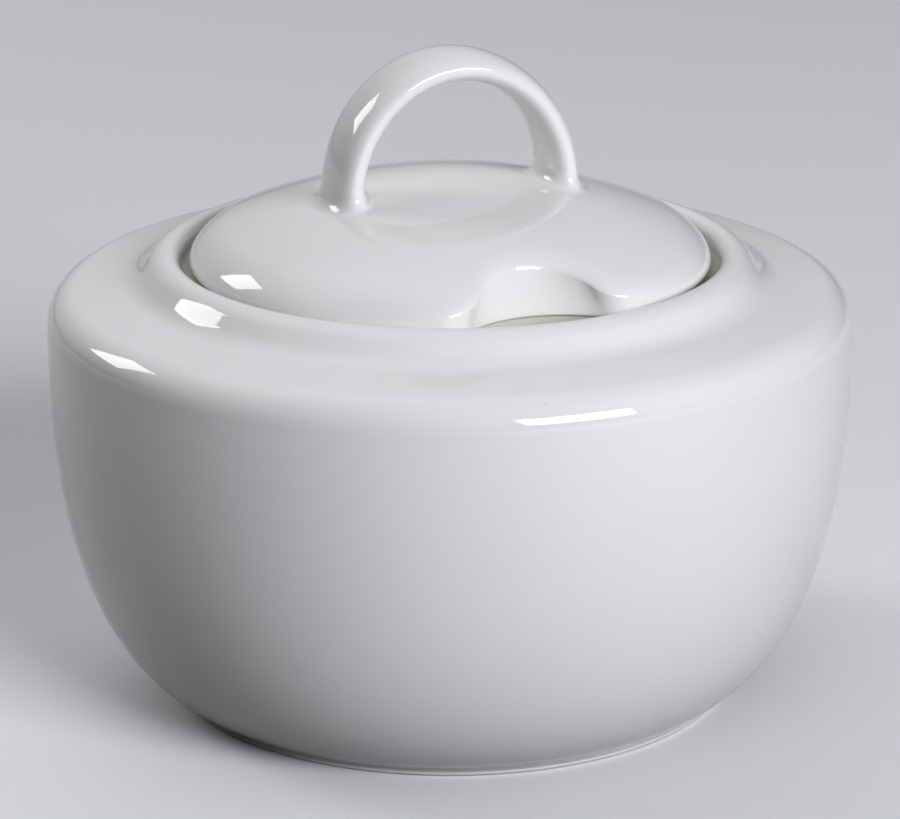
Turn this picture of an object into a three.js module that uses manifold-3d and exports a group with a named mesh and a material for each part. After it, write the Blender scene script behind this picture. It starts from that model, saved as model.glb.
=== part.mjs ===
// Porcelain sugar bowl with a domed lid. The lid has a spoon notch in its edge and a strap loop on top.
// Millimetres, +Z up, foot ring on z = 0, bowl axis on Z, loop along X, spoon notch towards -Y.
import * as THREE from 'three';
import { mergeVertices } from 'three/addons/utils/BufferGeometryUtils.js';
import Module from 'manifold-3d';

const wasm = await Module();
wasm.setup();

// Bowl
const bowlRadius = 56; // widest ring of the wall
const wallHeight = 53.6; // height of the widest ring
const wall = 3.2; // thickness of the cast wall
const wallFlareAngle = THREE.MathUtils.degToRad(33.6); // slope of the wall where it leaves the foot
const wallFlareReach = 20.2; // how far that slope pulls on the wall's curve
const wallTopReach = 4; // upright stretch under the widest ring
const footRadius = 39.4; // outside of the foot ring
const footWidth = 2.8; // width of the ring that stands on the table
const footHeight = 1.9; // height where the wall leaves the foot
const footStep = 1.6; // how far the wall stands out over the foot there
const footRound = 0.5; // rounding of the ring's two lower edges
const baseRecess = 1.5; // hollow under the base, inside the foot ring
const floorThickness = 4; // from that hollow to the bowl's floor
const floorTurn = 7; // rise and run of the turn from the floor to the wall
const shoulderEdge = 4.5; // rounding from the wall to the shoulder
const insideEdge = 1.3; // the same rounding inside the bowl
const shoulderSlope = THREE.MathUtils.degToRad(8); // rise of the shoulder towards the lip
const lipRise = 4.9; // lip's crest above the top of the shoulder's edge
const lipSlope = THREE.MathUtils.degToRad(50); // slope of the lip's outer face
const lipHollow = 4.5; // hollow where the shoulder turns up to the lip
const lipCrown = 3.5; // rounding from the lip's face to its crest
const lipRound = 1.6; // rounding from the crest into the gallery
const ledgeDepth = 2.6; // lid's ledge below the crest
const ledgeRound = 0.4; // rounding of the ledge at the mouth
const neck = 3.4; // thickness of the ledge

// Lid
const lidRadius = 36.2; // widest ring of the lid
const lidClearance = 1.4; // from the lid's edge to the gallery's wall
const lidOverlap = 2.2; // how far the lid's edge lies over the ledge
const lidEdge = 3.95; // height of the lid's edge, from the seat up to the dome
const rollReach = 5; // rounding from the dome over the edge, inwards
const rollDrop = 2.7; // the same rounding, downwards
const lidCorner = 1.1; // rounding of the edge at the seat
const lidWall = 3; // thickness of the dome
const domeRadius = 85; // sphere that the dome is part of
const flangeHeight = 5.5; // locating flange below the seat
const flangeWall = 2.4;
const flangeClearance = 0.6; // from the flange to the mouth
const flangeRound = 0.9; // rounding of the flange's lower edge
const flangeFillet = 1.5; // hollow from the flange to the underside of the dome

// Spoon notch: its outline at the seat, and at the top of its wall, which leans back
const notchRadius = 14;
const notchDepth = 7.5; // how far it cuts in from the lid's edge
const notchCorner = 4.5; // rounding where the notch leaves the edge
const notchTopRadius = 9.5;
const notchTopDepth = 9.2;
const notchTopCorner = 5;
const notchLean = THREE.MathUtils.degToRad(16); // lean of the wall where its roll begins
const notchRollReach = 3; // rounding from the dome over the notch's wall, inwards
const notchRollDrop = 1.5; // the same rounding, downwards
const notchEdge = 0.35; // rounding of the wall's lower edge
const notchStep = 0.5; // from the wall's lower edge back to the flange
const insideCorner = 1.2; // rounding of the flange's corners at the notch
const rollFade = THREE.MathUtils.degToRad(25); // stretch of the rim where its roll turns into the notch's

// Loop handle
const loopReach = 15.8; // from the axis to the middle of each leg
const loopRise = 17.3; // rise of the strap's middle line above the springing
const loopSpring = 0.6; // springing above the dome
const strapWidth = 11.4;
const strapThickness = 4.3;
const strapSquareness = 2.2; // 2 is an oval section, more is squarer
const footFlare = 1.8; // how far each foot spreads on the dome
const footFlareHeight = 2.6;

const seatGap = 0.3; // between pieces that rest on each other
const weld = 1e-5; // points closer than this are one
const glazeRoughness = 0.1;

// Sizes that follow from those above
const shoulderTop = wallHeight + shoulderEdge * Math.cos(shoulderSlope);
const crestHeight = shoulderTop + lipRise;
const ledgeHeight = crestHeight - ledgeDepth;
const galleryRadius = lidRadius + lidClearance;
const mouthRadius = lidRadius - lidOverlap;
const floorHeight = baseRecess + floorThickness;
const seatHeight = ledgeHeight + seatGap;
const flangeRadius = mouthRadius - flangeClearance;

// Facet counts
const turnSteps = 64;
const wallSteps = 12;
const edgeSteps = 5;
const smallSteps = 2;
const flangeSteps = 4;
const filletSteps = 3;
const rimSteps = 52;
const cornerSteps = 6;
const notchSteps = 14;
const domeRings = 6;
const rollRings = 5;
const strapSteps = 20;
const archRings = 30;
const legRings = 6;

const v2 = (x, y) => new THREE.Vector2(x, y);

// Turns a closed profile of radius and height around Z.
function revolve(profile) {
  const geometry = new THREE.LatheGeometry(profile, turnSteps);
  geometry.rotateX(Math.PI / 2);
  return geometry;
}

// Closed skin over rings of equal length, from a first point to a last point.
function skin(first, rings, last) {
  const count = rings[0].length;
  const points = [first, ...rings.flat(), last];
  const end = points.length - 1;
  const index = [];
  for (let i = 0; i < count; i++) {
    const j = (i + 1) % count;
    index.push(0, 1 + i, 1 + j);
    for (let k = 0; k < rings.length - 1; k++) {
      const upper = 1 + k * count;
      const lower = upper + count;
      index.push(upper + i, lower + i, lower + j);
      index.push(upper + i, lower + j, upper + j);
    }
    const lastRing = 1 + (rings.length - 1) * count;
    index.push(end, lastRing + j, lastRing + i);
  }
  const geometry = new THREE.BufferGeometry().setFromPoints(points);
  geometry.setIndex(index);
  geometry.computeVertexNormals();
  return geometry;
}

function toSolid(geometry) {
  const bare = geometry.clone();
  bare.deleteAttribute('normal');
  bare.deleteAttribute('uv');
  const merged = mergeVertices(bare, weld);
  const vertProperties = new Float32Array(merged.attributes.position.array);
  const triVerts = new Uint32Array(merged.index.array);
  return new wasm.Manifold(new wasm.Mesh({ numProp: 3, vertProperties, triVerts }));
}

function toGeometry(solid) {
  const mesh = solid.getMesh();
  const geometry = new THREE.BufferGeometry();
  geometry.setAttribute('position', new THREE.BufferAttribute(new Float32Array(mesh.vertProperties), 3));
  geometry.setIndex(new THREE.BufferAttribute(new Uint32Array(mesh.triVerts), 1));
  geometry.computeVertexNormals();
  return geometry;
}

// Points of a curve, moved sideways to its left by a distance.
function offsetPoints(curve, steps, distance) {
  const points = [];
  for (let i = 0; i <= steps; i++) {
    const tangent = curve.getTangent(i / steps);
    points.push(curve.getPoint(i / steps).add(v2(-tangent.y, tangent.x).multiplyScalar(distance)));
  }
  return points;
}

// Bowl: the outside runs from the base up to the lip, the inside comes back down a wall's thickness away.
function makeBowl() {
  const wallStart = v2(footRadius + footStep, footHeight);
  const wallEnd = v2(bowlRadius, wallHeight);
  const flare = v2(Math.cos(wallFlareAngle), Math.sin(wallFlareAngle)).multiplyScalar(wallFlareReach);
  const wallCurve = new THREE.CubicBezierCurve(
    wallStart,
    wallStart.clone().add(flare),
    v2(bowlRadius, wallHeight - wallTopReach),
    wallEnd,
  );
  const edgeCentre = v2(bowlRadius - shoulderEdge, wallHeight);
  const edgeEndAngle = Math.PI / 2 - shoulderSlope;
  const edgeCurve = new THREE.EllipseCurve(
    edgeCentre.x, edgeCentre.y, shoulderEdge, shoulderEdge, 0, edgeEndAngle,
  );
  const shoulderStart = edgeCurve.getPoint(1);
  const crest = v2(galleryRadius + lipRound, crestHeight);

  // Lip: the shoulder runs straight, turns up through a hollow, climbs a straight face and rounds over
  const up = (angle) => v2(Math.sin(angle), Math.cos(angle));
  const faceTop = v2(crest.x, crest.y - lipCrown).addScaledVector(up(lipSlope), lipCrown);
  const turned = up(shoulderSlope).sub(up(lipSlope)).multiplyScalar(lipHollow);
  const rest = shoulderStart.clone().add(turned).sub(faceTop);
  const across = rest.x * Math.sin(lipSlope) + rest.y * Math.cos(lipSlope);
  const run = across / Math.sin(lipSlope - shoulderSlope);
  const hollowCentre = shoulderStart.clone().addScaledVector(up(shoulderSlope), lipHollow);
  hollowCentre.add(v2(-Math.cos(shoulderSlope), Math.sin(shoulderSlope)).multiplyScalar(run));
  const lip = new THREE.Path();
  const upright = Math.PI / 2;
  const { x, y } = hollowCentre;
  lip.absarc(x, y, lipHollow, -upright - shoulderSlope, -upright - lipSlope, true);
  lip.absarc(crest.x, crest.y - lipCrown, lipCrown, upright - lipSlope, upright);

  // Foot ring and base
  const footInside = footRadius - footWidth;
  const footTurn = wallStart.y - footStep * Math.tan(wallFlareAngle);
  const outline = new THREE.Path();
  outline.moveTo(0, baseRecess);
  outline.lineTo(footInside - baseRecess, baseRecess);
  outline.quadraticCurveTo(footInside, baseRecess, footInside, footRound);
  outline.absarc(footInside + footRound, footRound, footRound, Math.PI, 1.5 * Math.PI);
  outline.lineTo(footRadius - footRound, 0);
  outline.absarc(footRadius - footRound, footRound, footRound, -Math.PI / 2, 0);
  outline.quadraticCurveTo(footRadius, footTurn, wallStart.x, wallStart.y);
  const profile = outline.getPoints(smallSteps);

  // Outside
  profile.push(...wallCurve.getPoints(wallSteps).slice(1));
  profile.push(...edgeCurve.getPoints(edgeSteps).slice(1));
  profile.push(...lip.getPoints(smallSteps));

  // Gallery: over the crest, down to the ledge, and over its edge into the mouth
  const gallery = new THREE.Path();
  gallery.moveTo(crest.x, crest.y);
  gallery.absarc(crest.x, crest.y - lipRound, lipRound, Math.PI / 2, Math.PI);
  gallery.lineTo(galleryRadius, ledgeHeight);
  gallery.lineTo(mouthRadius + ledgeRound, ledgeHeight);
  gallery.absarc(mouthRadius + ledgeRound, ledgeHeight - ledgeRound, ledgeRound, Math.PI / 2, Math.PI);
  gallery.lineTo(mouthRadius, ledgeHeight - neck);
  profile.push(...gallery.getPoints(smallSteps).slice(1));

  // Inside: under the shoulder, down the wall, round into the floor
  const insideCentre = v2(bowlRadius - wall - insideEdge, wallHeight + shoulderEdge - wall - insideEdge);
  const insideCurve = new THREE.EllipseCurve(
    insideCentre.x, insideCentre.y, insideEdge, insideEdge, edgeEndAngle, 0, true,
  );
  profile.push(...insideCurve.getPoints(smallSteps));
  const insideWall = offsetPoints(wallCurve, wallSteps, wall).reverse();
  const wallPart = insideWall.filter((p) => p.y < insideCentre.y - weld && p.y > floorHeight + floorTurn);
  profile.push(...wallPart);
  const low = wallPart[wallPart.length - 1];
  const fall = insideWall[insideWall.indexOf(low) + 1].clone().sub(low);
  const meet = v2(low.x + fall.x * (floorHeight - low.y) / fall.y, floorHeight);
  const floorCurve = new THREE.QuadraticBezierCurve(low, meet, v2(meet.x - floorTurn, floorHeight));
  profile.push(...floorCurve.getPoints(edgeSteps).slice(1));
  profile.push(v2(0, floorHeight));
  return revolve(profile);
}

// Height of the dome's outer face at a distance from the axis.
function domeHeight(radius) {
  const sag = (r) => domeRadius - Math.sqrt(domeRadius ** 2 - r ** 2);
  return seatHeight + lidEdge + sag(lidRadius) - sag(radius);
}

// Round outline with a notch in its front, from above: points, and the directions that lead out there.
function notchedOutline(rim, notch, notchCentre, corner) {
  const cornerCentre = rim - corner;
  const between = notch + corner;
  const cosine = (cornerCentre ** 2 + notchCentre ** 2 - between ** 2) / (2 * cornerCentre * notchCentre);
  const half = Math.acos(cosine);
  const front = -Math.PI / 2;
  const right = v2(Math.sin(half), -Math.cos(half)).multiplyScalar(cornerCentre);
  const rise = Math.atan2(right.y + notchCentre, right.x);
  const arc = (x, y, radius, start, end, clockwise, steps) => {
    const curve = new THREE.EllipseCurve(x, y, radius, radius, start, end, clockwise);
    return curve.getPoints(steps).slice(1).map((point) => {
      const out = point.clone().sub(v2(x, y)).normalize();
      return { point, out: clockwise ? out.negate() : out };
    });
  };
  const full = 2 * Math.PI;
  return [
    ...arc(0, 0, rim, front + half, front - half + full, false, rimSteps),
    ...arc(-right.x, right.y, corner, front - half + full, full - rise, false, cornerSteps),
    ...arc(0, -notchCentre, notch, Math.PI - rise, rise, true, notchSteps),
    ...arc(right.x, right.y, corner, Math.PI + rise, full + front + half, false, cornerSteps),
  ];
}

// Lid: rings from the dome's top over the rolled edge, under it, round the flange and in under the dome.
// Edge, roll and flange all follow the notch.
function makeLid() {
  const lowCentre = lidRadius - notchDepth + notchRadius;
  const topCentre = lidRadius - notchTopDepth + notchTopRadius;
  const low = notchedOutline(lidRadius, notchRadius, lowCentre, notchCorner);
  const high = notchedOutline(lidRadius, notchTopRadius, topCentre, notchTopCorner);
  const fadeSteps = rimSteps * rollFade / (2 * Math.PI);
  const edge = low.map((foot, i) => {
    const past = Math.min(i + 1, rimSteps - 1 - i) / fadeSteps;
    const share = 1 - THREE.MathUtils.smoothstep(past, 0, 1); // 1 all round the notch
    const mix = (rimSize, notchSize) => THREE.MathUtils.lerp(rimSize, notchSize, share);
    const reach = mix(rollReach, notchRollReach);
    const drop = mix(rollDrop, notchRollDrop);
    return {
      foot,
      head: high[i],
      reach,
      drop,
      start: Math.atan2(reach, drop * Math.tan(notchLean * share)), // where the roll meets the leaning wall
      round: mix(lidCorner, notchEdge),
    };
  });
  const place = (point, height) => new THREE.Vector3(point.x, point.y, height);
  const underHeight = (radius) => domeHeight(radius) - lidWall;
  const rolled = ({ head, reach, drop, start }, part) => {
    const inset = reach * (Math.sin(start) - Math.sin(start * part));
    const point = head.point.clone().addScaledVector(head.out, -inset);
    return place(point, domeHeight(point.length()) - drop * (1 - Math.cos(start * part)));
  };

  // Dome, roll, and the edge's wall down to its rounded foot
  const rings = [];
  for (let i = 1; i <= domeRings; i++) {
    rings.push(edge.map((side) => {
      const { x, y } = rolled(side, 0).multiplyScalar(i / domeRings);
      return place({ x, y }, domeHeight(Math.hypot(x, y)));
    }));
  }
  for (let i = 1; i <= rollRings; i++) {
    rings.push(edge.map((side) => rolled(side, i / rollRings)));
  }
  for (let i = 0; i <= smallSteps; i++) {
    const turn = (i / smallSteps) * Math.PI / 2;
    rings.push(edge.map(({ foot, round }) => {
      const point = foot.point.clone().addScaledVector(foot.out, -round * (1 - Math.cos(turn)));
      return place(point, seatHeight + round * (1 - Math.sin(turn)));
    }));
  }

  // Flange: down, round its lower edge, up through a fillet, and the underside of the dome
  const flangeFoot = seatHeight - flangeHeight + flangeRound;
  const flangeLine = (inset) => {
    const notch = notchRadius + notchStep + inset;
    return notchedOutline(flangeRadius - inset, notch, lowCentre, insideCorner).map(({ point }) => point);
  };
  rings.push(flangeLine(0).map((point) => place(point, seatHeight)));
  for (let i = 0; i <= flangeSteps; i++) {
    const turn = (i / flangeSteps) * Math.PI;
    const inset = flangeWall * (1 - Math.cos(turn)) / 2;
    rings.push(flangeLine(inset).map((point) => place(point, flangeFoot - flangeRound * Math.sin(turn))));
  }
  for (let i = 1; i <= filletSteps; i++) {
    const turn = (i / filletSteps) * Math.PI / 2;
    rings.push(flangeLine(flangeWall + flangeFillet * (1 - Math.cos(turn))).map((point) => {
      const top = underHeight(point.length());
      return place(point, THREE.MathUtils.lerp(flangeFoot, top, Math.sin(turn)));
    }));
  }
  const inside = flangeLine(flangeWall + flangeFillet);
  for (let i = domeRings - 1; i >= 1; i--) {
    rings.push(inside.map((point) => {
      const inner = point.clone().multiplyScalar(i / domeRings);
      return place(inner, underHeight(inner.length()));
    }));
  }
  const top = new THREE.Vector3(0, 0, domeHeight(0));
  const bottom = new THREE.Vector3(0, 0, underHeight(0));
  return skin(top, rings, bottom);
}

// Loop handle: an oval strap over a half-elliptic arch, with feet that spread onto the dome.
function makeLoop() {
  const spring = domeHeight(loopReach) + loopSpring;
  const legDepth = loopSpring + strapThickness;
  const power = 2 / strapSquareness;
  const spread = (above) => {
    const part = THREE.MathUtils.clamp(1 - above / footFlareHeight, 0, 1);
    return footFlare * (1 - Math.sqrt(1 - part ** 2));
  };
  const section = (x, z, outX, outZ) => {
    const points = [];
    for (let i = 0; i < strapSteps; i++) {
      const angle = (i / strapSteps) * 2 * Math.PI;
      const cos = Math.cos(angle);
      const sin = Math.sin(angle);
      const thick = Math.sign(cos) * Math.abs(cos) ** power * strapThickness / 2;
      const wide = Math.sign(sin) * Math.abs(sin) ** power * strapWidth / 2;
      const point = new THREE.Vector3(x + thick * outX, wide, z + thick * outZ);
      const more = spread(point.z - domeHeight(Math.hypot(point.x, point.y)));
      points.push(point.add(new THREE.Vector3(cos * more * outX, sin * more, cos * more * outZ)));
    }
    return points;
  };
  const rings = [];
  for (let i = 0; i < legRings; i++) {
    rings.push(section(-loopReach, spring - legDepth * (1 - i / legRings), -1, 0));
  }
  // Rings of the arch lie closer together at the feet and at the crown
  for (let i = archRings; i >= 0; i--) {
    const part = i / archRings;
    const angle = Math.PI * (part - Math.sin(4 * Math.PI * part) / (8 * Math.PI));
    const out = v2(Math.cos(angle) / loopReach, Math.sin(angle) / loopRise).normalize();
    const x = loopReach * Math.cos(angle);
    const z = spring + loopRise * Math.sin(angle);
    rings.push(section(x, z, out.x, out.y));
  }
  for (let i = legRings - 1; i >= 0; i--) {
    rings.push(section(loopReach, spring - legDepth * (1 - i / legRings), 1, 0));
  }
  const start = new THREE.Vector3(-loopReach, 0, spring - legDepth);
  const end = new THREE.Vector3(loopReach, 0, spring - legDepth);
  const strap = toSolid(skin(start, rings, end));

  // The feet follow the dome, a seat's gap above it
  const reach = loopReach + strapThickness + 2 * footFlare;
  const under = [v2(0, seatHeight), v2(reach, seatHeight)];
  for (let i = wallSteps; i >= 0; i--) {
    const radius = reach * i / wallSteps;
    under.push(v2(radius, domeHeight(radius) + seatGap));
  }
  return toGeometry(strap.subtract(toSolid(revolve(under))));
}

function porcelain(color) {
  return new THREE.MeshStandardMaterial({ color, roughness: glazeRoughness, metalness: 0 });
}

function addPiece(group, name, geometry, material) {
  const mesh = new THREE.Mesh(geometry, material);
  mesh.name = name;
  group.add(mesh);
}

const sugarBowl = new THREE.Group();
addPiece(sugarBowl, 'bowl', makeBowl(), porcelain(0xe6e7e6));
addPiece(sugarBowl, 'lid', makeLid(), porcelain(0xe7e8e6));
addPiece(sugarBowl, 'loop_handle', makeLoop(), porcelain(0xe7e8e7));

export default sugarBowl;
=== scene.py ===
import math

import bmesh
import bpy
from mathutils import Matrix, Vector
from mathutils.geometry import interpolate_bezier


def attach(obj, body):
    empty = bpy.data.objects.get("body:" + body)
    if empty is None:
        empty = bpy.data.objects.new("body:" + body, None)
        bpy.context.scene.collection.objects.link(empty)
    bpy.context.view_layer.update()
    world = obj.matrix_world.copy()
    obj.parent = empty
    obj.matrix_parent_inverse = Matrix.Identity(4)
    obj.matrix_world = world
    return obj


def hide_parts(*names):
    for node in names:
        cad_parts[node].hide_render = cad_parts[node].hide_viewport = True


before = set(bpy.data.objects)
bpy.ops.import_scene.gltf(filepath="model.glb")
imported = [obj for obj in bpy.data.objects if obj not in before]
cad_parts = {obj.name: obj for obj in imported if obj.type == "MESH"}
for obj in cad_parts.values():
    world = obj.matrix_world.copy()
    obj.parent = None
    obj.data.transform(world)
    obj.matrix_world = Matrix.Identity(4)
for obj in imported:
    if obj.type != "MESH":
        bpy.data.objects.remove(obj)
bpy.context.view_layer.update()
scene = bpy.context.scene
mm = 0.001  # the pieces are modelled in millimetres and scaled to metres at the end
mergeReach = 0.0005  # points nearer than this become one
print("frame loaded:", sorted(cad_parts))


# profile drawing: a chain of edges in the XZ plane, radius along X and height along Z
def startAt(bm, radius, height):
    return bm.verts.new((radius, 0, height))


def lineTo(bm, tip, radius, height):
    end = bm.verts.new((radius, 0, height))
    bm.edges.new((tip, end))
    return end


def curveTo(bm, tip, handleA, handleB, end, steps):
    knots = [Vector((p[0], 0, p[1])) for p in (handleA, handleB, end)]
    for point in interpolate_bezier(tip.co, knots[0], knots[1], knots[2], steps + 1)[1:]:
        tip = lineTo(bm, tip, point.x, point.z)
    return tip


def turnTo(bm, tip, radius, height, degrees, steps):
    spun = bmesh.ops.spin(bm, geom=[tip], cent=(radius, 0, height), axis=(0, -1, 0),
                          angle=math.radians(degrees), steps=steps, use_merge=False)
    return [v for v in spun["geom_last"] if isinstance(v, bmesh.types.BMVert)][0]


def spinRound(bm, steps):
    bmesh.ops.spin(bm, geom=bm.verts[:] + bm.edges[:], cent=(0, 0, 0), axis=(0, 0, 1),
                   angle=2 * math.pi, steps=steps, use_merge=True)
    bmesh.ops.remove_doubles(bm, verts=bm.verts[:], dist=mergeReach)
    bmesh.ops.recalc_face_normals(bm, faces=bm.faces[:])


# ring modelling: extrudes a closed loop and gives the new loop in the same order
def extrudeRing(bm, ring):
    edges = [bm.edges.get((a, b)) for a, b in zip(ring, ring[1:] + ring[:1])]
    fresh = bmesh.ops.extrude_edge_only(bm, edges=edges)["geom"]
    fresh = {v for v in fresh if isinstance(v, bmesh.types.BMVert)}
    return [next(e.other_vert(v) for e in v.link_edges if e.other_vert(v) in fresh) for v in ring]


def closeRing(bm, ring, point):
    ring = extrudeRing(bm, ring)
    bmesh.ops.pointmerge(bm, verts=ring, merge_co=point)


def makePiece(name, bm, material, body, node):
    bmesh.ops.scale(bm, vec=(mm, mm, mm), verts=bm.verts[:])
    for face in bm.faces:
        face.smooth = True
    mesh = bpy.data.meshes.new(name)
    bm.to_mesh(mesh)
    bm.free()
    piece = bpy.data.objects.new(name, mesh)
    scene.collection.objects.link(piece)
    mesh.materials.append(material)
    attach(piece, body)
    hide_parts(node)
    print("made", name, len(mesh.polygons), "faces")


# small helpers for node trees
def addNode(tree, kind, **inputs):
    node = tree.nodes.new(kind)
    for key, value in inputs.items():
        node.inputs[key.replace("_", " ")].default_value = value
    return node


def addMath(tree, operation, first, second):
    node = tree.nodes.new("ShaderNodeMath")
    node.operation = operation
    tree.links.new(first, node.inputs[0])
    tree.links.new(second, node.inputs[1])
    return node.outputs["Value"]


# spreads a value from one range to 0..1; the range may run backwards
def addRange(tree, value, start, end):
    node = addNode(tree, "ShaderNodeMapRange", From_Min=start, From_Max=end)
    tree.links.new(value, node.inputs["Value"])
    return node.outputs["Result"]


def paintOver(tree, factor, under, colour):
    node = tree.nodes.new("ShaderNodeMix")
    node.data_type = "RGBA"
    tree.links.new(factor, node.inputs["Factor"])
    tree.links.new(under, node.inputs[6])  # colour A
    node.inputs[7].default_value = colour  # colour B
    return node.outputs[2]


# glaze: clear glass over a white body, so gloss is high and the colour hardly changes
glazeLook = {
    "white": (0.845, 0.848, 0.825, 1), "shade": (0.82, 0.825, 0.8, 1), "cloudRange": (0.35, 0.7),
    "speck": (0.55, 0.54, 0.5, 1), "biscuitAndShade": (0.68, 0.66, 0.565, 1),
    "ior": 1.56, "soak": 0.2, "soakTint": (1.0, 0.97, 0.88), "soakDepth": 0.0012,
    "gloss": (0.025, 0.05), "biscuitRoughness": 0.7,
    "cloudScale": 28.0, "grainScale": 300.0, "waveScale": 70.0, "waveStrength": 0.1, "waveDepth": 0.0002,
    "speckScale": 140.0, "speckSize": 0.06, "speckRare": 0.92,
    # bare of glaze below bareTop, and on a ring whose tan is partly painted shade for the gap round the lid:
    # from, to, radius
    "bareTop": 0.0004, "bareSeatAndShade": (0.0599, 0.0611, 0.0378), "bareSoft": 0.0003,
}


def makeGlaze(name, look):
    material = bpy.data.materials.new(name)
    material.use_nodes = True
    tree = material.node_tree
    link = tree.links.new
    shader = tree.nodes["Principled BSDF"]
    shader.inputs["IOR"].default_value = look["ior"]
    # light soaks a little way into the white body
    shader.inputs["Subsurface Weight"].default_value = look["soak"]
    shader.inputs["Subsurface Radius"].default_value = look["soakTint"]
    shader.inputs["Subsurface Scale"].default_value = look["soakDepth"]
    place = tree.nodes.new("ShaderNodeTexCoord").outputs["Object"]

    # slow cloudiness in the white
    cloud = addNode(tree, "ShaderNodeTexNoise", Scale=look["cloudScale"], Detail=3.0)
    link(place, cloud.inputs["Vector"])
    ramp = tree.nodes.new("ShaderNodeValToRGB")
    stops = zip(ramp.color_ramp.elements, look["cloudRange"], (look["shade"], look["white"]))
    for stop, position, colour in stops:
        stop.position = position
        stop.color = colour
    link(cloud.outputs["Fac"], ramp.inputs["Fac"])

    # a few pin-sized specks under the glaze
    cells = addNode(tree, "ShaderNodeTexVoronoi", Scale=look["speckScale"])
    link(place, cells.inputs["Vector"])
    pick = tree.nodes.new("ShaderNodeSeparateColor")
    link(cells.outputs["Color"], pick.inputs["Color"])
    spot = addRange(tree, cells.outputs["Distance"], look["speckSize"], 0.0)
    rare = addRange(tree, pick.outputs["Red"], look["speckRare"], 1.0)
    speck = addMath(tree, "MULTIPLY", spot, rare)
    dotted = paintOver(tree, speck, ramp.outputs["Color"], look["speck"])

    # bare biscuit where the glaze is wiped off: under bareTop, and on the ring that the lid rests on, where
    # the tan is partly bare biscuit and partly painted shade for the gap round the lid
    split = tree.nodes.new("ShaderNodeSeparateXYZ")
    link(place, split.inputs["Vector"])
    height = split.outputs["Z"]
    flat = tree.nodes.new("ShaderNodeVectorMath")
    flat.operation = "MULTIPLY"
    flat.inputs[1].default_value = (1, 1, 0)
    link(place, flat.inputs[0])
    across = tree.nodes.new("ShaderNodeVectorMath")
    across.operation = "LENGTH"
    link(flat.outputs["Vector"], across.inputs[0])
    soft = look["bareSoft"]
    bottom, top, reach = look["bareSeatAndShade"]
    under = addRange(tree, height, look["bareTop"], look["bareTop"] - soft)
    within = addRange(tree, across.outputs["Value"], reach, reach - soft)
    above = addRange(tree, height, bottom, bottom + soft)
    below = addRange(tree, height, top, top - soft)
    # the seat ring takes the tan: partly bare biscuit, partly painted shade for the gap round the lid
    seatBareAndShaded = addMath(tree, "MULTIPLY", addMath(tree, "MULTIPLY", within, above), below)
    bareAndShadeMask = addMath(tree, "MAXIMUM", under, seatBareAndShaded)
    link(paintOver(tree, bareAndShadeMask, dotted, look["biscuitAndShade"]), shader.inputs["Base Color"])

    # gloss that varies a little, dull on the biscuit
    grain = addNode(tree, "ShaderNodeTexNoise", Scale=look["grainScale"], Detail=2.0)
    link(place, grain.inputs["Vector"])
    gloss = addNode(tree, "ShaderNodeMapRange", To_Min=look["gloss"][0], To_Max=look["gloss"][1])
    link(grain.outputs["Fac"], gloss.inputs["Value"])
    rough = tree.nodes.new("ShaderNodeMix")
    link(bareAndShadeMask, rough.inputs["Factor"])
    link(gloss.outputs["Result"], rough.inputs["A"])
    rough.inputs["B"].default_value = look["biscuitRoughness"]
    link(rough.outputs["Result"], shader.inputs["Roughness"])

    # the glaze ran and set, so reflections waver slightly
    wave = addNode(tree, "ShaderNodeTexNoise", Scale=look["waveScale"], Detail=1.0)
    link(place, wave.inputs["Vector"])
    bump = addNode(tree, "ShaderNodeBump", Strength=look["waveStrength"], Distance=look["waveDepth"])
    link(wave.outputs["Fac"], bump.inputs["Height"])
    link(bump.outputs["Normal"], shader.inputs["Normal"])
    print("glaze", name)
    return material


# bowl: its profile is spun around Z
bowl = {
    "radius": 56, "wallHeight": 53.6, "wall": 3.2, "flareAngle": 33.6, "flareReach": 20.2, "topReach": 4,
    "footRadius": 39.4, "footWidth": 2.8, "footHeight": 1.9, "footStep": 1.6, "footRound": 0.5,
    "baseRecess": 1.5, "floor": 5.5, "floorTurn": 7,
    "edge": 4.5, "insideEdge": 1.3, "slope": 8,
    "lipRise": 4.9, "lipSlope": 50, "lipHollow": 4.5, "lipCrown": 3.5, "lipRound": 1.6,
    "ledgeDepth": 2.6, "ledgeRound": 0.4, "ledgeFillet": 0.6,
    "galleryRadius": 37.6, "mouthRadius": 34, "neck": 3.4, "neckRound": 0.8,
    "recessPull": (0.33, 0.75), "pull": 0.667,  # how far the handles of a bend reach towards its corner
    "steps": 192, "footSteps": 8, "smallSteps": 6, "wallSteps": 56, "edgeSteps": 20, "shoulderSteps": 8,
    "lipSteps": 16, "crestSteps": 12, "neckSteps": 8, "insideSteps": 10, "floorSteps": 20,
}
slope = math.radians(bowl["slope"])
lipSlope = math.radians(bowl["lipSlope"])
shoulderTop = bowl["wallHeight"] + bowl["edge"] * math.cos(slope)
crestHeight = shoulderTop + bowl["lipRise"]
ledgeHeight = crestHeight - bowl["ledgeDepth"]


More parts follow.
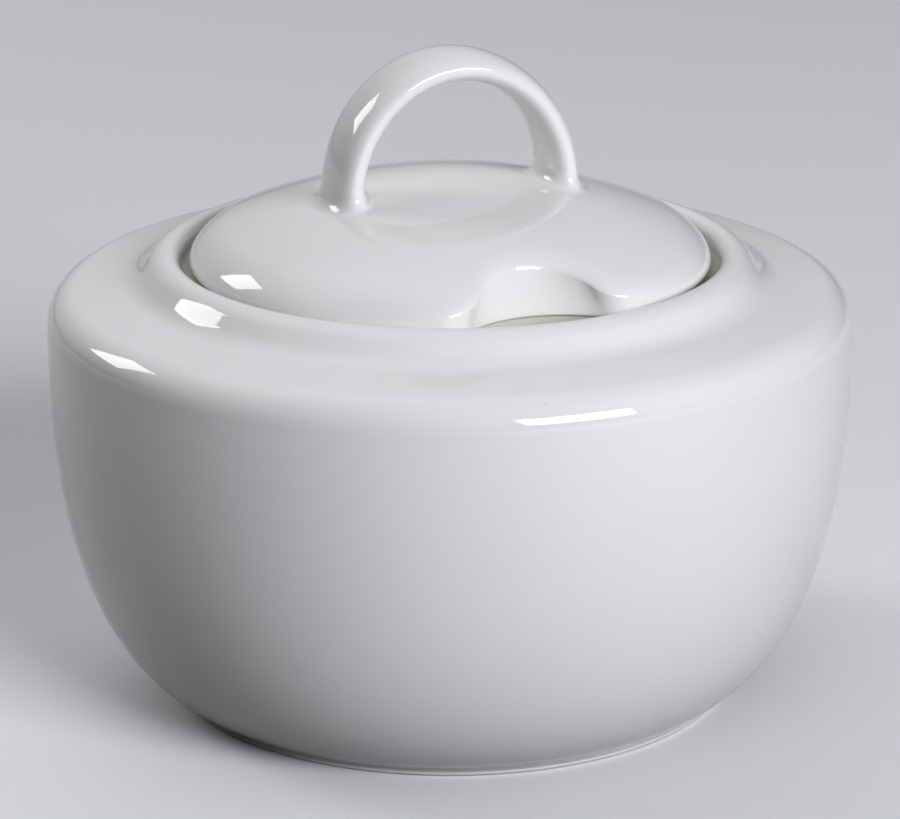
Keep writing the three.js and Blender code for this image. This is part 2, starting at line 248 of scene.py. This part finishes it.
def buildBowl():
    bm = bmesh.new()
    footIn = bowl["footRadius"] - bowl["footWidth"]
    small = bowl["footRound"]
    recess = bowl["baseRecess"]
    pull = bowl["pull"]
    footSteps = bowl["footSteps"]
    smallSteps = bowl["smallSteps"]
    pullIn, pullDown = bowl["recessPull"]

    # base and foot ring
    tip = startAt(bm, 0, recess)
    tip = lineTo(bm, tip, footIn / 2, recess)
    tip = lineTo(bm, tip, footIn - recess, recess)
    tip = curveTo(bm, tip, (footIn - recess * pullIn, recess), (footIn, recess * pullDown), (footIn, small),
                  footSteps)
    tip = turnTo(bm, tip, footIn + small, small, 90, smallSteps)
    tip = lineTo(bm, tip, bowl["footRadius"] - small, 0)
    tip = turnTo(bm, tip, bowl["footRadius"] - small, small, 90, smallSteps)
    flareAngle = math.radians(bowl["flareAngle"])
    wallFoot = Vector((bowl["footRadius"] + bowl["footStep"], bowl["footHeight"]))
    footTurn = Vector((bowl["footRadius"], wallFoot.y - bowl["footStep"] * math.tan(flareAngle)))
    heel = Vector((bowl["footRadius"], small))
    tip = curveTo(bm, tip, heel.lerp(footTurn, pull), wallFoot.lerp(footTurn, pull), wallFoot, footSteps)

    # wall, rounded shoulder edge, shoulder and lip
    wallTop = Vector((bowl["radius"], bowl["wallHeight"]))
    flare = Vector((math.cos(flareAngle), math.sin(flareAngle))) * bowl["flareReach"]
    wallCurve = [wallFoot, wallFoot + flare, wallTop - Vector((0, bowl["topReach"])), wallTop]
    tip = curveTo(bm, tip, wallCurve[1], wallCurve[2], wallCurve[3], bowl["wallSteps"])
    tip = turnTo(bm, tip, bowl["radius"] - bowl["edge"], bowl["wallHeight"], 90 - bowl["slope"],
                 bowl["edgeSteps"])
    crest = Vector((bowl["galleryRadius"] + bowl["lipRound"], crestHeight))
    hollow = bowl["lipHollow"]
    crown = bowl["lipCrown"]
    sinSlope, cosSlope = math.sin(slope), math.cos(slope)
    sinLip, cosLip = math.sin(lipSlope), math.cos(lipSlope)
    across = tip.co.x - crest.x - hollow * (sinLip - sinSlope) - crown * sinLip
    rise = crest.y - tip.co.z - hollow * (cosSlope - cosLip) - crown * (1 - cosLip)
    turn = math.sin(lipSlope - slope)
    run = (across * sinLip - rise * cosLip) / turn
    face = (rise * cosSlope - across * sinSlope) / turn
    step = run / bowl["shoulderSteps"]
    for part in range(bowl["shoulderSteps"]):
        tip = lineTo(bm, tip, tip.co.x - step * cosSlope, tip.co.z + step * sinSlope)
    bend = bowl["lipSlope"] - bowl["slope"]
    tip = turnTo(bm, tip, tip.co.x + hollow * sinSlope, tip.co.z + hollow * cosSlope, -bend, bowl["lipSteps"])
    tip = lineTo(bm, tip, tip.co.x - face * cosLip, tip.co.z + face * sinLip)
    tip = turnTo(bm, tip, crest.x, crest.y - crown, bowl["lipSlope"], bowl["lipSteps"])

    # gallery that takes the lid
    tip = turnTo(bm, tip, crest.x, crest.y - bowl["lipRound"], 90, bowl["crestSteps"])
    fillet = bowl["ledgeFillet"]
    tip = lineTo(bm, tip, bowl["galleryRadius"], ledgeHeight + fillet)
    tip = turnTo(bm, tip, bowl["galleryRadius"] - fillet, ledgeHeight + fillet, -90, smallSteps)
    tip = lineTo(bm, tip, bowl["mouthRadius"] + bowl["ledgeRound"], ledgeHeight)
    tip = turnTo(bm, tip, tip.co.x, ledgeHeight - bowl["ledgeRound"], 90, smallSteps)
    neckFoot = ledgeHeight - bowl["neck"] + bowl["neckRound"]
    tip = lineTo(bm, tip, bowl["mouthRadius"], neckFoot)

    # inside: under the shoulder, down the wall and over the floor
    inside = bowl["insideEdge"]
    insideX = bowl["radius"] - bowl["wall"] - inside
    insideZ = bowl["wallHeight"] + bowl["edge"] - bowl["wall"] - inside
    tip = turnTo(bm, tip, bowl["mouthRadius"] + bowl["neckRound"], neckFoot, 90 - bowl["slope"],
                 bowl["neckSteps"])
    tip = lineTo(bm, tip, insideX + inside * math.sin(slope), insideZ + inside * math.cos(slope))
    tip = turnTo(bm, tip, insideX, insideZ, bowl["slope"] - 90, bowl["insideSteps"])
    outer = interpolate_bezier(*wallCurve, bowl["wallSteps"] + 1)
    for below, point, above in reversed(list(zip(outer, outer[1:], outer[2:]))):
        along = (above - below).normalized()
        inner = point + Vector((-along.y, along.x)) * bowl["wall"]
        if bowl["floor"] + bowl["floorTurn"] < inner.y < insideZ:
            fall = Vector((tip.co.x, tip.co.z)) - inner
            tip = lineTo(bm, tip, inner.x, inner.y)
    low = Vector((tip.co.x, tip.co.z))
    meet = low - fall * (low.y - bowl["floor"]) / fall.y
    floorEdge = Vector((meet.x - bowl["floorTurn"], bowl["floor"]))
    tip = curveTo(bm, tip, low.lerp(meet, pull), floorEdge.lerp(meet, pull), floorEdge, bowl["floorSteps"])
    tip = lineTo(bm, tip, floorEdge.x / 2, bowl["floor"])
    lineTo(bm, tip, 0, bowl["floor"])
    spinRound(bm, bowl["steps"])
    return bm


# lid: rings that follow its outline, round the spoon notch too, from the edge in to the axis
lid = {
    "radius": 36.2, "edge": 3.95, "rollIn": 5, "rollDown": 2.7, "corner": 1.1, "wall": 3, "domeRadius": 85,
    "notchRadius": 14, "notchDepth": 7.5, "notchCorner": 4.5, "insideCorner": 1.2, "seatGap": 0.3,
    "topRadius": 9.5, "topDepth": 9.2, "topCorner": 5, "notchRollIn": 3, "notchRollDown": 1.5,
    "notchLean": 16, "rollFade": 25, "sharpCorner": 0.35,
    "flangeRadius": 33.4, "flangeWall": 2.4, "flangeHeight": 5.5, "flangeRound": 0.9, "flangeFillet": 1.5,
    "flangeOut": 0.05, "flangeDrop": 0.1, "notchStep": 0.5,
    "rimSteps": 180, "cornerSteps": 20, "notchSteps": 60, "wallRings": 8, "domeRings": 36, "rollRings": 18,
    "seatRings": 4, "flangeRings": 12, "filletRings": 8,
}
seatHeight = ledgeHeight + lid["seatGap"]


def domeHeight(radius):
    sag = lambda r: lid["domeRadius"] - math.sqrt(lid["domeRadius"] ** 2 - r ** 2)
    return seatHeight + lid["edge"] + sag(lid["radius"]) - sag(radius)


# points and outward directions of a round outline with a notch cut into its front
def notchedOutline(rim, notch, centre, corner):
    reach = rim - corner
    half = math.acos((reach ** 2 + centre ** 2 - (notch + corner) ** 2) / (2 * reach * centre))
    cornerX = reach * math.sin(half)
    cornerY = -reach * math.cos(half)
    rise = math.atan2(cornerY + centre, cornerX)
    front = -math.pi / 2
    fullTurn = 2 * math.pi

    def arc(x, y, radius, start, end, steps, side):
        turns = [start + (end - start) * (i + 1) / steps for i in range(steps)]
        ways = [Vector((math.cos(t), math.sin(t))) for t in turns]
        return [(Vector((x, y)) + way * radius, way * side) for way in ways]

    return (arc(0, 0, rim, front + half, front - half + fullTurn, lid["rimSteps"], 1)
            + arc(-cornerX, cornerY, corner, front - half, -rise, lid["cornerSteps"], 1)
            + arc(0, -centre, notch, math.pi - rise, rise, lid["notchSteps"], -1)
            + arc(cornerX, cornerY, corner, math.pi + rise, fullTurn + front + half, lid["cornerSteps"], 1))


def buildLid():
    bm = bmesh.new()
    lowCentre = lid["radius"] - lid["notchDepth"] + lid["notchRadius"]
    topCentre = lid["radius"] - lid["topDepth"] + lid["topRadius"]
    low = notchedOutline(lid["radius"], lid["notchRadius"], lowCentre, lid["notchCorner"])
    top = notchedOutline(lid["radius"], lid["topRadius"], topCentre, lid["topCorner"])
    # how much each point of the outline belongs to the notch: fades out along the rim
    fade = lid["rollFade"] * lid["rimSteps"] / 360
    share = []
    for i in range(len(low)):
        past = min(i + 1, lid["rimSteps"] - i - 1) / fade
        part = 1 - min(max(past, 0), 1)
        share.append(part * part * (3 - 2 * part))
    rollIn = [lid["rollIn"] * (1 - w) + lid["notchRollIn"] * w for w in share]
    rollDown = [lid["rollDown"] * (1 - w) + lid["notchRollDown"] * w for w in share]
    lean = math.radians(lid["notchLean"])
    rollStart = [math.atan2(a, b * math.tan(lean * w)) for a, b, w in zip(rollIn, rollDown, share)]
    corners = [lid["corner"] * (1 - w) + lid["sharpCorner"] * w for w in share]

    edgeRing = [bm.verts.new((p.x, p.y, seatHeight + c)) for (p, way), c in zip(low, corners)]
    for a, b in zip(edgeRing, edgeRing[1:] + edgeRing[:1]):
        bm.edges.new((a, b))

    def nextRing(ring, points, heights):
        ring = extrudeRing(bm, ring)
        for v, p, z in zip(ring, points, heights):
            v.co = (p.x, p.y, z)
        return ring

    # up the edge and the notch's leaning wall
    ring = edgeRing
    topHeight = [domeHeight(p.length) - down * (1 - math.cos(start))
                 for (p, way), down, start in zip(top, rollDown, rollStart)]
    for i in range(1, lid["wallRings"] + 1):
        part = 1 - (1 - i / lid["wallRings"]) ** 2  # closer together towards the roll
        ring = nextRing(ring, [a.lerp(b, part) for (a, way), (b, way) in zip(low, top)],
                        [(seatHeight + c) * (1 - part) + z * part for c, z in zip(corners, topHeight)])

    # over the roll and in over the dome
    for i in range(1, lid["rollRings"] + 1):
        turns = [start * (1 - i / lid["rollRings"]) for start in rollStart]
        rolled = [p - way * reach * (math.sin(start) - math.sin(turn))
                  for (p, way), reach, start, turn in zip(top, rollIn, rollStart, turns)]
        ring = nextRing(ring, rolled, [domeHeight(p.length) - down * (1 - math.cos(turn))
                                       for p, down, turn in zip(rolled, rollDown, turns)])
    for i in range(1, lid["domeRings"]):
        part = 1 - i / lid["domeRings"]
        ease = part ** 3  # rings turn round as they leave the notch behind
        radii = [p.length * ease + (lid["radius"] - lid["topDepth"]) * (1 - ease) for p in rolled]
        points = [p.normalized() * r * part for p, r in zip(rolled, radii)]
        ring = nextRing(ring, points, [domeHeight(p.length) for p in points])
    closeRing(bm, ring, (0, 0, domeHeight(0)))

    # under the edge, then down and up the flange, which follows the notch just behind its wall
    def flangeLine(inset):
        line = notchedOutline(lid["flangeRadius"] - inset, lid["notchRadius"] + lid["notchStep"] + inset,
                              lowCentre, lid["insideCorner"])
        return [p for p, way in line]

    def level(height):
        return [height] * len(low)

    ring = edgeRing
    for i in range(1, lid["seatRings"] + 1):
        turn = math.pi / 2 * i / lid["seatRings"]
        points = [p - way * c * (1 - math.cos(turn)) for (p, way), c in zip(low, corners)]
        ring = nextRing(ring, points, [seatHeight + c * (1 - math.sin(turn)) for c in corners])
    ring = nextRing(ring, flangeLine(-lid["flangeOut"]), level(seatHeight))
    ring = nextRing(ring, flangeLine(0), level(seatHeight - lid["flangeDrop"]))
    rounded = lid["flangeRound"]
    foot = seatHeight - lid["flangeHeight"]
    for i in range(lid["flangeRings"] + 1):
        turn = math.pi * i / lid["flangeRings"]
        inset = lid["flangeWall"] * (1 - math.cos(turn)) / 2
        ring = nextRing(ring, flangeLine(inset), level(foot + rounded * (1 - math.sin(turn))))
    for i in range(1, lid["filletRings"] + 1):
        turn = math.pi / 2 * i / lid["filletRings"]
        part = math.sin(turn)
        points = flangeLine(lid["flangeWall"] + lid["flangeFillet"] * (1 - math.cos(turn)))
        ring = nextRing(ring, points, [(foot + rounded) * (1 - part)
                                       + (domeHeight(p.length) - lid["wall"]) * part for p in points])
    inner = flangeLine(lid["flangeWall"] + lid["flangeFillet"])
    for i in range(1, lid["domeRings"]):
        points = [p * (1 - i / lid["domeRings"]) for p in inner]
        ring = nextRing(ring, points, [domeHeight(p.length) - lid["wall"] for p in points])
    closeRing(bm, ring, (0, 0, domeHeight(0) - lid["wall"]))
    bmesh.ops.recalc_face_normals(bm, faces=bm.faces[:])
    return bm


# loop handle: an oval strap over a half-elliptic arch, with feet that run out onto the dome
loop = {
    "reach": 15.8, "rise": 17.3, "spring": 0.6, "width": 11.4, "thickness": 4.3, "squareness": 2.2,
    "footFlare": 1.8, "footFlareHeight": 2.6, "footRun": 0.5, "footSink": 0.06, "footDepth": 1.2,
    "aroundSteps": 72, "archSteps": 150, "legSteps": 10,
}


def buildLoop():
    bm = bmesh.new()
    ring = bmesh.ops.create_circle(bm, segments=loop["aroundSteps"], radius=1)["verts"]
    power = 2 / loop["squareness"]
    sides = []  # outward direction of each point of the section: across the thickness, along the width
    for v in ring:
        sides.append(Vector((v.co.x, v.co.y)))
        across = math.copysign(abs(v.co.x) ** power, v.co.x) * loop["thickness"] / 2
        along = math.copysign(abs(v.co.y) ** power, v.co.y) * loop["width"] / 2
        v.co = (across, along, 0)
    section = [v.co.copy() for v in ring]
    springing = domeHeight(loop["reach"]) + loop["spring"]

    def spread(above):
        part = min(max(1 - above / loop["footFlareHeight"], 0), 1)
        return loop["footFlare"] * (1 - math.sqrt(1 - part * part))

    def placeArch(ring, angle):
        out = Vector((math.cos(angle) / loop["reach"], 0, math.sin(angle) / loop["rise"])).normalized()
        centre = Vector((loop["reach"] * math.cos(angle), 0, springing + loop["rise"] * math.sin(angle)))
        for v, p, side in zip(ring, section, sides):
            spot = centre + out * p.x + Vector((0, p.y, 0))
            more = spread(spot.z - domeHeight(spot.xy.length))
            v.co = spot + (out * side.x + Vector((0, side.y, 0))) * more

    def placeLeg(ring, outwards, part):
        for v, p, side in zip(ring, section, sides):
            plan = Vector((outwards * (loop["reach"] + p.x), p.y))
            normal = Vector((outwards * side.x, side.y))
            above = (springing - domeHeight(plan.length)) * (1 - part)
            plan = plan + normal * spread(above)
            v.co = (plan.x, plan.y, domeHeight(plan.length) + above)

    def finishFoot(ring, outwards):
        for i in range(1, loop["legSteps"] + 1):
            ring = extrudeRing(bm, ring)
            placeLeg(ring, outwards, i / loop["legSteps"])
        for run, sink in ((loop["footRun"], loop["footSink"]), (loop["footRun"], loop["footDepth"])):
            ring = extrudeRing(bm, ring)
            for v, p, side in zip(ring, section, sides):
                plan = Vector((outwards * (loop["reach"] + p.x), p.y))
                plan = plan + Vector((outwards * side.x, side.y)) * (loop["footFlare"] + run)
                v.co = (plan.x, plan.y, domeHeight(plan.length) - sink)
        bmesh.ops.contextual_create(bm, geom=ring)

    placeArch(ring, 0)
    rightFoot = ring
    for i in range(1, loop["archSteps"] + 1):
        ring = extrudeRing(bm, ring)
        placeArch(ring, math.pi * i / loop["archSteps"])
    leftFoot = ring
    finishFoot(rightFoot, 1)
    finishFoot(leftFoot, -1)
    bmesh.ops.recalc_face_normals(bm, faces=bm.faces[:])
    return bm


makePiece("bowlBody", buildBowl(), makeGlaze("bowlGlaze", glazeLook), "bowl", "bowl")
# the lid's flange and the underside of its edge take the same tan, partly painted shade for the gap seen in
# the notch
lidLook = dict(glazeLook, bareTop=0.06085)  # bare on its flange and under its edge
makePiece("lidDome", buildLid(), makeGlaze("lidGlaze", lidLook), "lid", "lid")
makePiece("lidLoop", buildLoop(), makeGlaze("loopGlaze", lidLook), "lid", "loop_handle")


# camera: the photograph's place and lens
view = {"azimuth": -21.0, "distance": 0.56, "height": 0.22094, "pitch": 17.98, "lens": 167.4, "sensor": 36}
camera = bpy.data.cameras.new("camera")
camera.lens = view["lens"]
camera.sensor_width = view["sensor"]
cameraObject = bpy.data.objects.new("camera", camera)
turn = math.radians(view["azimuth"])
away = view["distance"]
cameraObject.location = (away * math.sin(turn), -away * math.cos(turn), view["height"])
cameraObject.rotation_euler = (math.radians(90 - view["pitch"]), 0, turn)
scene.collection.objects.link(cameraObject)
scene.camera = cameraObject


# studio: pale floor, three soft boxes, and a sky that glows softly behind and above
studio = {
    "floorSeen": (0.87, 0.875, 0.885, 1), "floorBounce": (0.04, 0.04, 0.04, 1), "floorRadius": 4.0,
    "floorSides": 96, "floorRoughness": 0.75,
    "skyColor": (0.94, 0.955, 1.0, 1), "skyLow": 0.01, "skyGlow": 0.85, "skyEdge": 0.5,
    "skyPlace": (-0.38, 0.72, 0.6), "target": (0, 0, 0.05),
}
# place is right, away and up as the camera sees it
lamps = [
    {"name": "sideBox", "place": (-0.79, 0.4, 0.48), "distance": 1.3, "size": (0.38, 0.44), "watts": 3.3,
     "color": (0.98, 0.985, 1.0)},
    {"name": "frontBox", "place": (0.54, -0.734, 0.407), "distance": 1.3, "size": (0.7, 0.42), "watts": 17.0,
     "color": (0.93, 0.937, 1.0)},
    {"name": "topBox", "place": (-0.2, 0.1, 1.0), "distance": 1.5, "size": (1.6, 1.6), "watts": 1.5,
     "color": (0.97, 0.975, 1.0)},
]

floorMesh = bmesh.new()
bmesh.ops.create_circle(floorMesh, cap_ends=True, segments=studio["floorSides"],
                        radius=studio["floorRadius"])
floorData = bpy.data.meshes.new("floor")
floorMesh.to_mesh(floorData)
floorMesh.free()
floor = bpy.data.objects.new("floor", floorData)
scene.collection.objects.link(floor)
floorPaint = bpy.data.materials.new("floorPaint")
floorPaint.use_nodes = True
floorTree = floorPaint.node_tree
floorShader = floorTree.nodes["Principled BSDF"]
floorShader.inputs["Roughness"].default_value = studio["floorRoughness"]
# the floor is pale to the eye and in reflections, but throws little light up at the bowl
ray = floorTree.nodes.new("ShaderNodeLightPath")
seen = ray.outputs["Is Camera Ray"]
for other in ("Is Glossy Ray", "Is Transmission Ray"):
    seen = addMath(floorTree, "MAXIMUM", seen, ray.outputs[other])
floorTint = floorTree.nodes.new("ShaderNodeMix")
floorTint.data_type = "RGBA"
floorTint.inputs[6].default_value = studio["floorBounce"]  # colour A
floorTint.inputs[7].default_value = studio["floorSeen"]  # colour B
floorTree.links.new(seen, floorTint.inputs["Factor"])
floorTree.links.new(floorTint.outputs[2], floorShader.inputs["Base Color"])
floorData.materials.append(floorPaint)

# sky: brightest in one direction, fading softly to nearly dark
cameraTurn = Matrix.Rotation(turn, 3, "Z")
world = bpy.data.worlds.new("studio")
world.use_nodes = True
sky = world.node_tree
sky.nodes["Background"].inputs["Color"].default_value = studio["skyColor"]
skyWay = sky.nodes.new("ShaderNodeTexCoord")
towards = sky.nodes.new("ShaderNodeVectorMath")
towards.operation = "DOT_PRODUCT"
towards.inputs[1].default_value = cameraTurn @ Vector(studio["skyPlace"]).normalized()
sky.links.new(skyWay.outputs["Generated"], towards.inputs[0])
glow = addNode(sky, "ShaderNodeMapRange", From_Min=studio["skyEdge"], From_Max=1.0,
               To_Min=studio["skyLow"], To_Max=studio["skyGlow"])
glow.interpolation_type = "SMOOTHSTEP"
sky.links.new(towards.outputs["Value"], glow.inputs["Value"])
sky.links.new(glow.outputs["Result"], sky.nodes["Background"].inputs["Strength"])
scene.world = world

for lamp in lamps:
    light = bpy.data.lights.new(lamp["name"], "AREA")
    light.shape = "RECTANGLE"
    light.size, light.size_y = lamp["size"]
    light.energy = lamp["watts"]
    light.color = lamp["color"]
    holder = bpy.data.objects.new(lamp["name"], light)
    offset = cameraTurn @ Vector(lamp["place"]).normalized() * lamp["distance"]
    holder.location = Vector(studio["target"]) + offset
    holder.rotation_euler = offset.to_track_quat("Z", "Y").to_euler()
    scene.collection.objects.link(holder)
scene.view_settings.view_transform = "Standard"
print("studio lit")
